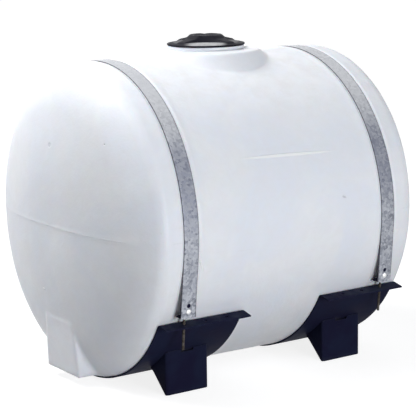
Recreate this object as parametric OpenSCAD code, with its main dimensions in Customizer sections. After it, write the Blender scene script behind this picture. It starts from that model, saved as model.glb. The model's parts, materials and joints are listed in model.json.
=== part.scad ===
// Horizontal oval leg tank.
// A moulded polyethylene shell lies in two steel cradles on folded legs. A galvanised band over each
// cradle is drawn down by threaded rods, and a screw lid closes the filling neck on a low turret.
// X runs along the tank, -Y is the front, +Z is up, and Z = 0 is the floor.

/* [Tank shell] */
// Half width of the oval barrel
half_width = 564; // [545:1:575]
// Half height of the oval barrel
half_height = 590; // [580:1:640]
// Half length over the end heads
half_length = 702; // [670:1:790]
// Thickness of the moulded wall
wall = 8; // [6:1:12]
// Radius of the knuckle between barrel and head
knuckle_r = 75; // [50:5:100]
// Angle that the knuckle turns through
knuckle_a = 48; // [40:1:60]
// Radius of the dished ring inside the knuckle
dish_r = 320; // [260:10:360]
// Angle at which that ring gives way to the dome of the head
dish_a = 75; // [70:1:80]
// Depth of the moulded channel that holds a band
channel_depth = 3; // [2:0.5:5]

/* [Turret and sump] */
// Distance of the turret from the middle of the tank
neck_x = 12; // [0:1:40]
// Radius of the turret that carries the filling neck
turret_r = 208; // [200:1:220]
// Spread of the turret's wall between its top and its foot
turret_flare = 30; // [16:1:36]
// Height of the turret above the crown of the barrel
turret_rise = 17; // [12:1:30]
// Height of the sump's flat face
sump_height = 212; // [180:2:240]
// Width of the sump at its foot
sump_width = 240; // [200:2:280]
// How far the foot of the sump's face stands back from its top edge
sump_lean = 14; // [0:1:20]
// How far that top edge stands back from the head's furthest point
sump_set = 26; // [16:1:36]
// Height of the sump's floor above the lowest line of the barrel
sump_lift = 24; // [20:1:60]

/* [Lid] */
// Bore of the filling neck
neck_d = 254; // [240:1:260]
// Diameter of the lid over its rim
lid_d = 300; // [290:1:310]
// Height of the lid's crown above its rim
crown_h = 32; // [28:1:38]
// Number of hand hollows round the crown
hollow_count = 4; // [3:1:5]
// Direction that the closed lid's first hollow faces
hollow_turn = 55; // [0:5:90]

/* [Bands] */
// Distance of each band from the middle of the tank
band_x = 445; // [434:1:450]
// Width of a band
band_w = 65; // [50:1:76]
// Thickness of a band
band_t = 3; // [2:0.5:3]
// Tilt from the vertical where a band leaves the barrel
band_tilt = 5.5; // [4:0.5:7]
// Diameter of the threaded rods
rod_d = 10; // [8:1:12]
// Length of the threaded rods
rod_length = 130; // [110:5:150]

/* [Cradles] */
// Distance of each cradle from the middle of the tank
cradle_x = 363; // [350:1:366]
// Length of a cradle along the tank
cradle_length = 366; // [340:2:380]
// Thickness of the cradle plate
plate_t = 6; // [5:1:8]
// Angle below the horizontal where the cradle plate ends
cradle_end_a = 29; // [27:0.5:30]
// Width of the flange along each edge of a cradle
flange_w = 56; // [52:1:60]
// Slope of a flange towards its outer edge
flange_slope = 14; // [8:1:16]
// Distance between the holes in a flange
hole_pitch = 92; // [85:1:95]
// Diameter of the holes in a flange
hole_d = 14; // [13:1:16]

/* [Legs] */
// Gap between the floor and the cradle plate
floor_gap = 5; // [5:1:60]
// Distance of a leg's face from the middle of the tank
leg_y = 393; // [370:1:400]
// Width of a leg
leg_w = 184; // [160:2:200]
// Thickness of the folded leg sheet
leg_t = 5; // [4:1:6]
// Depth of a leg's side wings where they meet the cradle
wing_depth = 103; // [80:1:120]

/* [Hidden] */

white = [0.93, 0.94, 0.96];
navy = [0.09, 0.10, 0.17];
zinc = [0.66, 0.69, 0.74];
black = [0.05, 0.05, 0.06];
SIDES = [["left", -1], ["right", 1]];
FACES = [["front", -1], ["rear", 1]];

axis_z = half_height + plate_t + floor_gap;

// The oval is four circular arcs that meet tangentially: a rounder one at the top and the bottom, and a
// flatter one on each side. An arc is [centre y, centre z, radius, first angle, last angle], and the
// angle is that of the outward normal, so it runs on without a break from one arc to the next.
// The four centres stand on a rhombus of 3-4-5 triangles.
centre_unit = (half_height - half_width) / 2;
crown_c = 3 * centre_unit;
side_c = 4 * centre_unit;
crown_r = half_height - crown_c;
side_r = half_width + side_c;
join_a = atan2(3, 4);
ARCS = [
    [-side_c, 0, side_r, -join_a, join_a],
    [0, crown_c, crown_r, join_a, 180 - join_a],
    [side_c, 0, side_r, 180 - join_a, 180 + join_a],
    [0, -crown_c, crown_r, 180 + join_a, 360 - join_a],
    [-side_c, 0, side_r, 360 - join_a, 360 + join_a]
];

// The head: a straight part ends at head_x, then a knuckle and a dished ring lead to a wide dome, which
// ends in a small flat middle. The three arcs meet tangentially, so the dome's radius follows from the rest.
dome_end = crown_r - 57;
dish_end = knuckle_r * (1 - cos(knuckle_a)) + dish_r * cos(knuckle_a);
dome_r = dish_r + (dome_end - dish_end) / cos(dish_a);
dish_x = half_length - dome_r + (dome_r - dish_r) * sin(dish_a);
head_x = dish_x + (dish_r - knuckle_r) * sin(knuckle_a);
barrel_x = (band_x + band_w / 2 + 12 + head_x) / 2;
arc_steps = 6;
flat_depth = dome_end + 45;

sump_floor = -half_height + sump_lift;
sump_x = half_length - sump_set;
turret_top = half_height + turret_rise;
turret_edge = 12;
turret_foot_r = turret_r + turret_flare;
turret_foot = crown_c + sqrt(crown_r ^ 2 - turret_foot_r ^ 2) - 12;
neck_wall = 10;
neck_flange = 13;
gasket_t = 2;
rim_t = 6;
rim_z = turret_top + neck_flange + gasket_t;

nut_h = 8;
nut_w = 17;
clip_t = 5;
clip_gap = 14;
clip_rise = 43;
notch_w = 56;
notch_h = 10;
rod_shift = cradle_x + hole_pitch - band_x;
fit_gap = 0.4;

// Outline of the head's outer skin as [depth below the oval, place along the tank], t inside it
function head_line(t) = concat(
    [for (i = [0 : arc_steps]) let (a = knuckle_a * i / arc_steps)
        [knuckle_r - (knuckle_r - t) * cos(a), head_x + (knuckle_r - t) * sin(a)]],
    [for (i = [1 : arc_steps]) let (a = knuckle_a + (dish_a - knuckle_a) * i / arc_steps)
        [dish_end - (dish_r - t) * cos(a), dish_x + (dish_r - t) * sin(a)]],
    [for (i = [1 : arc_steps]) let (a = dish_a + (90 - dish_a) * i / arc_steps)
        [dome_end - (dome_r - t) * cos(a), half_length - dome_r + (dome_r - t) * sin(a)]]
);

// Depth profile of one band channel, with soft edges
function channel_line(x) = [
    [0, x - band_w / 2 - 12], [channel_depth * 0.3, x - band_w / 2 - 5], [channel_depth, x - band_w / 2 - 1],
    [channel_depth, x + band_w / 2 + 1], [channel_depth * 0.3, x + band_w / 2 + 5], [0, x + band_w / 2 + 12]
];

// One arc's sector, running through the whole tank
module sector(arc, first, last) {
    reach = arc[2] + 400;
    mid = (first + last) / 2;
    rotate([90, 0, 90])
        linear_extrude(height = 2 * half_length + 100, center = true)
            polygon([
                [arc[0], arc[1]],
                [arc[0] + reach * cos(first), arc[1] + reach * sin(first)],
                [arc[0] + 2 * reach * cos(mid), arc[1] + 2 * reach * sin(mid)],
                [arc[0] + reach * cos(last), arc[1] + reach * sin(last)]
            ]);
}

// Turns an outline of [depth below the oval, place along the tank] about one arc's centre line
module turned(arc, line) {
    translate([0, arc[0], arc[1]])
        rotate([90, 0, 90])
            rotate_extrude($fn = 180)
                polygon([for (p = line) [arc[2] - p[0], p[1]]]);
}

// Sweeps an outline of [depth, x] round the oval between two normal angles
module oval_sweep(line, from = -join_a, to = 360 - join_a) {
    translate([0, 0, axis_z])
        for (arc = ARCS) {
            first = max(from, arc[3]);
            last = min(to, arc[4]);
            if (last > first + 0.01)
                intersection() {
                    turned(arc, line);
                    sector(arc, first, last);
                }
        }
}

function reversed(line) = [for (i = [len(line) - 1 : -1 : 0]) line[i]];

// The turret's tapering wall as a solid cone, t inside its outer skin
module turret_cone(t) {
    translate([neck_x, 0, axis_z + turret_foot])
        cylinder(r1 = turret_foot_r - t, r2 = turret_r - t, h = turret_top - turret_edge - turret_foot, $fn = 96);
}

module barrel() {
    outer = concat([[0, -barrel_x]], channel_line(-band_x), channel_line(band_x), [[0, barrel_x]]);
    color(white)
        difference() {
            oval_sweep(concat(outer, [[wall, barrel_x], [wall, -barrel_x]]));
            turret_cone(wall);
        }
}

// The sump as a block: its width narrows upwards, and its face leans out towards its top edge
module sump_block(t) {
    low = sump_width / 2 - t;
    high = low * 0.85;
    tall = sump_height - 2 * t;
    translate([t - sump_x, 0, axis_z + sump_floor + t])
        intersection() {
            rotate([90, 0, 90])
                linear_extrude(height = 150)
                    polygon([[-low, 0], [low, 0], [high, tall], [-high, tall]]);
            rotate([90, 0, 0])
                linear_extrude(height = 2 * sump_width, center = true)
                    polygon([[sump_lean, -1], [140, -1], [140, tall + 1], [0, tall + 1], [0, tall]]);
        }
}

// A head's shell: its ring is swept round the oval, and a plate closes the flat middle
module head(side) {
    plate = [wall, 2 * (half_width - flat_depth + 3), 2 * (half_height - flat_depth + 3)];
    line = concat([[0, barrel_x]], head_line(0), [[flat_depth, half_length]]);
    inner = concat([[wall, barrel_x]], head_line(wall), [[flat_depth, half_length - wall]]);
    color(white)
        difference() {
            mirror([side < 0 ? 1 : 0, 0, 0])
                union() {
                    oval_sweep(concat(line, reversed(inner)));
                    translate([half_length - wall / 2, 0, axis_z])
                        cube(plate, center = true);
                }
            if (side < 0)
                sump_block(wall);
        }
}

module sump() {
    color(white)
        difference() {
            sump_block(0);
            sump_block(wall);
            mirror([1, 0, 0])
                translate([0, 0, axis_z])
                    turned(ARCS[3], concat([[crown_r, 0], [0, 0]], head_line(0), [[crown_r, half_length]]));
        }
}

module turret() {
    neck_r = neck_d / 2 + neck_wall + fit_gap;
    shoulder = turret_top - turret_edge;
    color(white)
        difference() {
            translate([neck_x, 0, axis_z])
                rotate_extrude($fn = 96)
                    polygon(concat(
                        [[neck_r, turret_top], [neck_r, turret_top - wall], [turret_r - wall, turret_top - wall],
                         [turret_r - wall, shoulder], [turret_foot_r - wall, turret_foot],
                         [turret_foot_r, turret_foot]],
                        [for (a = [0 : 15 : 90]) [turret_r - turret_edge + turret_edge * cos(a),
                                                  shoulder + turret_edge * sin(a)]]
                    ));
            translate([-half_length, 0, axis_z + crown_c])
                rotate([0, 90, 0])
                    cylinder(r = crown_r, h = 2 * half_length, $fn = 96);
        }
}

module neck_ring() {
    bore = neck_d / 2;
    color(white)
        translate([neck_x, 0, axis_z + turret_top])
            rotate_extrude($fn = 96)
                polygon([
                    [bore, -40], [bore + neck_wall, -40], [bore + neck_wall, 0],
                    [lid_d / 2 - 3, 0], [lid_d / 2 - 3, neck_flange], [bore, neck_flange]
                ]);
}

module neck_gasket() {
    color([0.12, 0.12, 0.12])
        translate([neck_x, 0, axis_z + turret_top + neck_flange])
            difference() {
                cylinder(d = lid_d - 8, h = gasket_t - 0.3, $fn = 96);
                translate([0, 0, -1])
                    cylinder(d = neck_d, h = gasket_t + 2, $fn = 96);
            }
}

crown_r1 = lid_d / 2 - 14;
crown_r2 = 60;
hollow_r = 114;
hollow_set = 199;
hollow_taper = 25;
skin = 5;
brim_h = 6;

// The hand hollows as cones that widen upwards, grown by t
module hollows(t) {
    for (i = [0 : hollow_count - 1])
        rotate([0, 0, hollow_turn + i * 360 / hollow_count])
            translate([hollow_set, 0, 0])
                cylinder(r1 = hollow_r + t, r2 = hollow_r + hollow_taper + t, h = crown_h, $fn = 96);
}

module lid_cover() {
    skirt = neck_d / 2 - 6;
    color(black)
        translate([neck_x, 0, axis_z + rim_z])
            difference() {
                rotate_extrude($fn = 96)
                    polygon([
                        [0, 0], [skirt - 6, 0], [skirt - 6, -34], [skirt, -34], [skirt, 0],
                        [lid_d / 2, 0], [lid_d / 2, rim_t - 3], [lid_d / 2 - 3, rim_t], [0, rim_t]
                    ]);
                difference() {
                    translate([0, 0, -1])
                        cylinder(r = skirt - 12, h = rim_t + 2, $fn = 96);
                    translate([0, 0, -2])
                        hollows(skin + 2);
                }
            }
}

// The floor of the hollows: a low brim that falls away towards the lid's edge
module brim() {
    edge = lid_d / 2 - 4;
    rotate_extrude($fn = 96)
        polygon([[80, 0], [edge, 0], [edge - 3, 1], [88, brim_h], [80, brim_h]]);
}

// The crown's four-lobed form, t inside its outer skin
module crown_form(t) {
    difference() {
        rotate_extrude($fn = 96)
            polygon([
                [0, 0], [crown_r1 - t, 0], [crown_r1 - t, max(crown_h * 0.15 - t, 0.1)], [crown_r1 * 0.6, crown_h * 0.6 - t],
                [crown_r2 - t / 2, crown_h - t], [0, crown_h - t]
            ]);
        hollows(t);
    }
}

module lid_crown() {
    color(black)
        translate([neck_x, 0, axis_z + rim_z + rim_t])
            difference() {
                union() {
                    crown_form(0);
                    brim();
                }
                translate([0, 0, -0.01])
                    crown_form(skin);
            }
}

// The rear side is worked out as [y, z] from the axis, and the front is its mirror image.
// A band's straight tail runs on at a tangent. It is a shade thinner than the band that it starts inside.
band_lift = channel_depth - 0.1;
tail_inset = 0.3;
tail_t = band_t - 2 * tail_inset;
tail_r = side_r - band_lift + tail_inset;
tail_origin = [tail_r * cos(band_tilt) - side_c, -tail_r * sin(band_tilt)];
tail_out = [cos(band_tilt), -sin(band_tilt)];
tail_up = [sin(band_tilt), cos(band_tilt)];
flange_origin = [side_r * cos(cradle_end_a) - side_c, -side_r * sin(cradle_end_a)];
flange_out = [cos(flange_slope), -sin(flange_slope)];
flange_up = [sin(flange_slope), cos(flange_slope)];

// A rod runs parallel to the tail and through the middle of the flange's hole
rod_hole = flange_origin + flange_w / 2 * flange_out - plate_t / 2 * flange_up;
rod_set = (tail_origin - rod_hole) * tail_out;
slant = tail_up * flange_up;
flange_along_rod = (tail_origin - rod_hole) * tail_up - plate_t / 2 / slant;
tail_length = flange_along_rod - clip_gap;
under_flange = flange_along_rod + (plate_t + nut_w / 2 * tan(flange_slope - band_tilt)) / slant;
clip_leg = rod_set + 12;

module on_side(side, face, x, place, tilt) {
    translate([side * x, 0, axis_z])
        mirror([0, face < 0 ? 1 : 0, 0])
            translate([0, place[0], place[1]])
                rotate([-tilt, 0, 0])
                    children();
}

// Frame of a band's tail: the tail runs down -Z, and +Y points away from the tank
module at_tail(side, face) {
    on_side(side, face, band_x, tail_origin, band_tilt)
        children();
}

// Frame of a flange: +Y runs out along the flange's top face
module at_flange(side, face) {
    on_side(side, face, cradle_x, flange_origin, flange_slope)
        children();
}

bolt_rise = 30;
spare_rise = 54;
bolt_hole = 11;
bolt_d = 10;

module band(side) {
    left = side * band_x - band_w / 2;
    right = side * band_x + band_w / 2;
    line = [[band_lift - band_t, left], [band_lift - band_t, right], [band_lift, right], [band_lift, left]];
    color(zinc)
        union() {
            oval_sweep(line, -band_tilt, 180 + band_tilt);
            for (f = FACES)
                at_tail(side, f[1])
                    difference() {
                        translate([-band_w / 2, 0, -tail_length])
                            cube([band_w, tail_t, tail_length + 8]);
                        for (z = [bolt_rise, spare_rise])
                            translate([0, -1, z - tail_length])
                                rotate([-90, 0, 0])
                                    cylinder(d = bolt_hole, h = tail_t + 2, $fn = 32);
                    }
        }
}

// Angle clip behind the end of a band's tail; the rod passes through its level leg
module clip(side, face) {
    w = band_w - 5;
    color(zinc)
        at_tail(side, face)
            translate([0, 0, -tail_length])
                difference() {
                    union() {
                        translate([-w / 2, -clip_t, 0])
                            cube([w, clip_t, clip_rise]);
                        translate([-w / 2, -clip_leg, 0])
                            cube([w, clip_leg, clip_t]);
                    }
                    translate([0, -clip_t - 1, bolt_rise])
                        rotate([-90, 0, 0])
                            cylinder(d = bolt_hole, h = clip_t + 2, $fn = 32);
                    translate([side * rod_shift, -rod_set, -1])
                        cylinder(d = rod_d + 1, h = clip_t + 2, $fn = 32);
                }
}

// Round-headed bolt with its nut, which fastens the clip to the band
module clip_bolt(side, face) {
    head_h = 5;
    color(zinc)
        at_tail(side, face)
            translate([0, tail_t, bolt_rise - tail_length])
                rotate([90, 0, 0]) {
                    translate([0, 0, tail_t + clip_t])
                        cylinder(d = nut_w, h = nut_h, $fn = 6);
                    cylinder(d = bolt_d, h = tail_t + clip_t + 2, $fn = 32);
                    rotate_extrude($fn = 48)
                        polygon(concat([[0, 0]], [for (a = [0 : 15 : 90]) [10 * cos(a), -head_h * sin(a)]]));
                }
}

module rod(side, face) {
    color([0.5, 0.5, 0.5])
        at_tail(side, face)
            translate([side * rod_shift, -rod_set, clip_t + nut_h + 6 - tail_length - rod_length])
                cylinder(d = rod_d, h = rod_length, $fn = 32);
}

// Three nuts on a rod: above the clip, under the clip and under the flange
module nuts(side, face) {
    color(zinc)
        at_tail(side, face)
            for (z = [clip_t - tail_length, -tail_length - nut_h, -under_flange - nut_h])
                translate([side * rod_shift, -rod_set, z])
                    difference() {
                        cylinder(d = nut_w / cos(30), h = nut_h, $fn = 6);
                        translate([0, 0, -1])
                            cylinder(d = rod_d + 0.2, h = nut_h + 2, $fn = 32);
                    }
}

module flange(side, face) {
    color(navy)
        difference() {
            at_flange(side, face)
                difference() {
                    translate([-cradle_length / 2, -30, -plate_t])
                        cube([cradle_length, flange_w + 30, plate_t]);
                    for (i = [-1 : 1])
                        translate([i * hole_pitch, flange_w / 2, -plate_t - 1])
                            cylinder(d = hole_d, h = plate_t + 2, $fn = 32);
                }
            translate([-half_length, -face * side_c, axis_z])
                rotate([0, 90, 0])
                    cylinder(r = side_r, h = 2 * half_length, $fn = 96);
        }
}

module cradle(side) {
    x = side * cradle_x;
    line = [
        [-plate_t, x - cradle_length / 2], [-plate_t, x + cradle_length / 2],
        [0, x + cradle_length / 2], [0, x - cradle_length / 2]
    ];
    color(navy)
        difference() {
            oval_sweep(line, 180 + cradle_end_a - 3, 360 - cradle_end_a + 3);
            for (f = FACES)
                at_flange(side, f[1])
                    translate([-cradle_length, -60, -plate_t])
                        cube([2 * cradle_length, 160, 80]);
        }
}

// Plan of a sheet folded into a U: w wide, d deep, with corners of radius r
module fold_plan(w, d, r) {
    translate([-w / 2, 0])
        square([w, d - r]);
    translate([-w / 2 + r, 0])
        square([w - 2 * r, d]);
    for (s = [-1, 1])
        translate([s * (w / 2 - r), d - r])
            circle(r = r, $fn = 32);
}

module leg(side, face) {
    under = axis_z - crown_c;
    under_r = crown_r + plate_t;
    wing_y = leg_y - wing_depth;
    wing_z = under - sqrt(under_r ^ 2 - wing_y ^ 2);
    face_z = under - sqrt(under_r ^ 2 - leg_y ^ 2);
    color(navy)
        translate([side * cradle_x, 0, 0])
            mirror([0, face < 0 ? 1 : 0, 0])
                difference() {
                    translate([0, wing_y, 0])
                        linear_extrude(height = axis_z / 2)
                            difference() {
                                fold_plan(leg_w, wing_depth, leg_t * 2);
                                translate([0, -1])
                                    fold_plan(leg_w - 2 * leg_t, wing_depth - leg_t + 1, leg_t);
                            }
                    translate([-leg_w, 0, under])
                        rotate([0, 90, 0])
                            cylinder(r = under_r, h = 2 * leg_w, $fn = 96);
                    rotate([90, 0, 90])
                        linear_extrude(height = 2 * leg_w, center = true)
                            polygon([
                                [leg_y - leg_t * 2, -1], [wing_y, wing_z],
                                [wing_y - 50, wing_z], [wing_y - 50, -1]
                            ]);
                    translate([-notch_w / 2, leg_y - 20, face_z - notch_h])
                        cube([notch_w, 40, 60]);
                }
}

barrel();
head(-1);  // head_left
head(1);  // head_right
turret();
sump();
neck_ring();
neck_gasket();
lid_cover();
lid_crown();
for (s = SIDES) {
    band(s[1]);
    cradle(s[1]);
    for (f = FACES) {
        place = str(s[0], "_", f[0]);
        flange(s[1], f[1]);
        clip(s[1], f[1]);
        clip_bolt(s[1], f[1]);
        rod(s[1], f[1]);
        nuts(s[1], f[1]);
        leg(s[1], f[1]);
    }
}
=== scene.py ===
# %% [markdown]
# # A horizontal oval leg tank, dressed for a render
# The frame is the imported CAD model. Everything here is measured in metres in that frame: X runs along the
# tank, -Y is the front, Z is up and the floor is at Z = 0. The new pieces are surfaces worked out with numpy
# as functions of two parameters. Each one rides on the body of the CAD node that it stands for.

# %% Load the frame
import json
import math

import bmesh
import bpy
import numpy as np
from mathutils import Matrix, Vector

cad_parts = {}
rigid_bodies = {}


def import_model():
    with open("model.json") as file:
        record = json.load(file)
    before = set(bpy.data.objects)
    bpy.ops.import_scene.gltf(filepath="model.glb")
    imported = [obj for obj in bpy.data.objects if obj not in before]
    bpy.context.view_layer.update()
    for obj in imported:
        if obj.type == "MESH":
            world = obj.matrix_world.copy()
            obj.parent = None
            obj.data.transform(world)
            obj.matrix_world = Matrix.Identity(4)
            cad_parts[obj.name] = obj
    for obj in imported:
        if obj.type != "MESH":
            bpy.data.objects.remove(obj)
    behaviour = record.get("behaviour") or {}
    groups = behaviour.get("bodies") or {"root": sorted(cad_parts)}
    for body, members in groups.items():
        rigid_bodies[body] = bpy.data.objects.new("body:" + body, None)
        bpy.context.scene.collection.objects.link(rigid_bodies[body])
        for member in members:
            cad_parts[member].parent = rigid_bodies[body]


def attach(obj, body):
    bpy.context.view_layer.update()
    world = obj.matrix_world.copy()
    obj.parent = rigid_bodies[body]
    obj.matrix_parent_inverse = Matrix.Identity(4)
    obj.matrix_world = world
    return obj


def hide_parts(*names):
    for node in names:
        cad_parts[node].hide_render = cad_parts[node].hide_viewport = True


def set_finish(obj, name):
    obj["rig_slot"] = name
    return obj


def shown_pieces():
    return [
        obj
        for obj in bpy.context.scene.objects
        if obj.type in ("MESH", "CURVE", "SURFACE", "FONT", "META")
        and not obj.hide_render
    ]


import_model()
for leftover in [o for o in bpy.context.scene.objects if o.name in ("Cube", "Light", "Camera")]:
    bpy.data.objects.remove(leftover)
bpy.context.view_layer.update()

# %% [markdown]
# ## The sizes everything is drawn from
# A maker would take these from the drawing. They are the same named values that drive the solids, so that a
# dressed piece lies exactly where its solid lies.

# %% Drawing values
half_width, half_height, half_length = 0.564, 0.590, 0.702
wall = 0.008
knuckle_r, knuckle_a, dish_r, dish_a = 0.075, math.radians(48), 0.320, math.radians(75)
neck_x, turret_r, turret_foot_r = 0.012, 0.208, 0.242
turret_top = half_height + 0.017
neck_r = 0.1374
plate_t, floor_gap = 0.006, 0.005
axis_z = half_height + plate_t + floor_gap
band_x, band_w, band_t, channel_depth = 0.445, 0.065, 0.003, 0.003
band_lift = channel_depth - 0.0001
cradle_x, cradle_length = 0.363, 0.366
print("axis height", round(axis_z, 4))

# %% [markdown]
# ## The oval as four arcs
# The cross-section is not a true ellipse. A mould maker builds it from four circular arcs that meet at a
# tangent: rounder ones at the top and bottom, flatter ones at the sides. The angle of the outward normal is
# then a parameter that runs smoothly round the whole section, and an offset curve keeps the same centres.

# %% The section
centre_unit = (half_height - half_width) / 2
crown_c, side_c = 3 * centre_unit, 4 * centre_unit
crown_r, side_r = half_height - crown_c, half_width + side_c
join_a = math.atan2(3, 4)


def oval(normal, depth=0.0):
    """The point (y, z) whose outward normal has this angle: its arc's centre plus (radius - depth) times the
    unit normal. z is measured from the tank's axis."""
    across, up = np.cos(normal), np.sin(normal)
    on_side = np.abs(up) < math.sin(join_a)
    centre_y = np.where(on_side, -np.sign(across) * side_c, 0.0)
    centre_z = np.where(on_side, 0.0, np.sign(up) * crown_c)
    radius = np.where(on_side, side_r, crown_r) - depth
    return centre_y + radius * across, centre_z + radius * up


print("side and top (y, z)", np.round(oval(np.array([0, math.pi / 2])), 4).T.tolist())

# %% [markdown]
# ## Helpers for surfaces
# A grid of points needs only the corner numbers of its quads. They come from whole-array arithmetic, and
# from_pydata hands points and corners to Blender. A few small functions are shared by most surfaces.

# %% Faces of a grid
def grid_faces(rows, cols, wrap_rows=False, wrap_cols=False):
    """Corner numbers of the quads between neighbouring points of a rows by cols grid. A wrapped direction
    joins its last line to its first."""
    r = np.arange(rows if wrap_rows else rows - 1)[:, None]
    c = np.arange(cols if wrap_cols else cols - 1)[None, :]
    r_next, c_next = (r + 1) % rows, (c + 1) % cols
    corners = [r * cols + c, r * cols + c_next, r_next * cols + c_next, r_next * cols + c]
    return np.stack(np.broadcast_arrays(*corners), -1).reshape(-1, 4)


def fan_faces(first, step, count, hub):
    """Triangles between neighbouring points of a closed ring, spaced by step from the first, and a hub."""
    k = np.arange(count)
    return np.stack([first + k * step, first + (k + 1) % count * step, np.full(count, hub)], -1)


print("quads of a 2 by 3 grid", grid_faces(2, 3).tolist())


# %% Objects
def add_to_scene(name, data):
    """A new object in the scene, made of this data."""
    made = bpy.data.objects.new(name, data)
    bpy.context.scene.collection.objects.link(made)
    return made


def make_object(name, parts, weld=1e-6, smooth_angle=None):
    """One mesh object from a list of (points, faces) pairs, merged where they touch, with outward normals."""
    points, faces, offset = [], [], 0
    for part_points, part_faces in parts:
        part_points = np.asarray(part_points, float).reshape(-1, 3)
        points.append(part_points)
        for block in part_faces if isinstance(part_faces, list) else [part_faces]:
            faces += (np.asarray(block) + offset).tolist()
        offset += len(part_points)
    mesh = bpy.data.meshes.new(name)
    mesh.from_pydata(np.concatenate(points).tolist(), [], faces)
    work = bmesh.new()
    work.from_mesh(mesh)
    bmesh.ops.remove_doubles(work, verts=work.verts, dist=weld)
    bmesh.ops.dissolve_degenerate(work, edges=work.edges, dist=weld)
    bmesh.ops.recalc_face_normals(work, faces=work.faces)
    work.to_mesh(mesh)
    work.free()
    mesh.update()
    if smooth_angle is None:
        mesh.shade_smooth()
    else:
        mesh.set_sharp_from_angle(angle=math.radians(smooth_angle))
    return add_to_scene(name, mesh)


def read_points(mesh, what="co"):
    """A mesh's vertex positions or normals as an (n, 3) array."""
    flat = np.empty(len(mesh.vertices) * 3, np.float32)
    if what == "co":
        mesh.vertices.foreach_get("co", flat)
    else:
        mesh.vertex_normals.foreach_get("vector", flat)
    return flat.reshape(-1, 3).astype(float)


print("object helpers ready")


# %% Steps, blends and directions
def smooth_step(value, low, high):
    """0 below low, 1 above high, and a cubic ease between them."""
    t = np.clip((value - low) / (high - low), 0, 1)
    return t * t * (3 - 2 * t)


def soft_min(a, b, blend):
    """The smaller of two values, less the square of how near they are, times a quarter of the blend."""
    near = np.clip(1 - np.abs(a - b) / blend, 0, 1)
    return np.minimum(a, b) - near**2 * blend / 4


def unit(vectors):
    """Each vector divided by its length."""
    return vectors / np.linalg.norm(vectors, axis=-1, keepdims=True)


print("halfway up a smooth step", smooth_step(0.5, 0, 1))

# %% [markdown]
# ## The moulded shell
# The real shell is one rotational moulding: barrel, both heads, turret and sump are a single skin, blended
# into each other. Separate primitives would show hard seams, and a boolean would leave ragged faces. So the
# skin is swept as one grid, two windows are left open in it, and each window is filled by a patch whose rim
# uses the grid's own points.

# %% Half of the outline
flat_r = 0.057
dome_end = crown_r - flat_r
dish_end = knuckle_r * (1 - math.cos(knuckle_a)) + dish_r * math.cos(knuckle_a)
dome_r = dish_r + (dome_end - dish_end) / math.cos(dish_a)
dish_x = half_length - dome_r + (dome_r - dish_r) * math.sin(dish_a)
head_x = dish_x + (dish_r - knuckle_r) * math.sin(knuckle_a)


def head_line():
    """Half of the shell's outline, from the middle of a head to the middle of the tank: the distance x from
    the tank's middle, the depth below the oval, and a scale that shrinks the rings on the flat middle."""
    flat = np.linspace(0.25, 1, 4)[:-1]
    dome = np.linspace(math.pi / 2, dish_a, 15)[:-1]
    dish = np.linspace(dish_a, knuckle_a, 9)[:-1]
    knuckle = np.linspace(knuckle_a, 0, 11)
    x = np.concatenate([np.full_like(flat, half_length), half_length - dome_r + dome_r * np.sin(dome),
                        dish_x + dish_r * np.sin(dish), head_x + knuckle_r * np.sin(knuckle)])
    depth = np.concatenate([np.full_like(flat, dome_end), dome_end - dome_r * np.cos(dome),
                            dish_end - dish_r * np.cos(dish), knuckle_r * (1 - np.cos(knuckle))])
    scale = np.concatenate([flat, np.ones(len(dome) + len(dish) + len(knuckle))])
    return x, depth, scale


end_x, end_depth, end_scale = head_line()
print("points from a head's middle to its edge", len(end_x))

# %% Seats under the bands
lean_at_axis, lean_slope, lean_to = 0.0055, 0.016, -0.2


def lean(height):
    """How far a band and its seat stand outwards at this height above the axis: a straight line, since the
    bands spread a little towards their rods, eased to nothing under the cradles."""
    return (lean_at_axis - lean_slope * np.maximum(height, lean_to)) * smooth_step(height, -0.45, -0.25)


def channel(x):
    """Depth of the moulded seat under a band: full inside the band, easing to nothing 12 mm outside it."""
    return channel_depth * smooth_step(np.abs(np.abs(x) - band_x), band_w / 2 + 0.012, band_w / 2 + 0.0005)


print("lean at the tails", round(float(lean(lean_to)) * 1000, 2), "mm")

# %% Lines of the grid
edge = band_w / 2
beside = edge + np.array([0.0025, 0.005, 0.008, 0.011, 0.014, 0.021])
seat_lines = band_x + np.concatenate([-beside[::-1], [-edge, -edge / 2, 0, edge / 2, edge], beside])
middle_end = band_x - edge - 0.03
middle_lines = np.linspace(-middle_end, middle_end, 45)
half_x = np.concatenate([end_x, seat_lines[::-1]])
line_x = np.concatenate([-half_x, middle_lines, half_x[::-1]])
straight = len(line_x) - 2 * len(end_x)
line_depth = np.concatenate([end_depth, np.zeros(straight), end_depth[::-1]])
line_scale = np.concatenate([end_scale, np.ones(straight), end_scale[::-1]])
line_depth += np.where(np.abs(line_x) < head_x, channel(line_x), 0)
rings = 240
ring_angle = -math.pi / 2 + 2 * math.pi * np.arange(rings) / rings
print("shell grid", rings, "by", len(line_x))


# %% The swept grid
def shell_points():
    """Point (i, j) of the skin: outline point j carried round the oval to normal angle i."""
    y, z = oval(ring_angle[:, None], line_depth[None, :])
    lean_from, lean_until = (0.33, 0.395), (0.50, 0.56)
    near_seat = smooth_step(np.abs(line_x), *lean_from) * (1 - smooth_step(np.abs(line_x), *lean_until))
    return np.stack([line_x + np.sign(line_x) * near_seat * lean(z), y * line_scale, axis_z + z * line_scale], -1)


skin, columns = shell_points(), len(line_x)
print("skin from", skin.min((0, 1)).round(4).tolist(), "to", skin.max((0, 1)).round(4).tolist())


# %% Windows for the turret and the sump
def window(first_row, last_row, first_col, last_col):
    """The ring of grid points round a window, in order, as (row, column) pairs."""
    down = [(r, first_col) for r in range(first_row, last_row)]
    along = [(last_row, c) for c in range(first_col, last_col)]
    up = [(r, last_col) for r in range(last_row, first_row, -1)]
    back = [(first_row, c) for c in range(last_col, first_col, -1)]
    return np.array(down + along + up + back)


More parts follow.
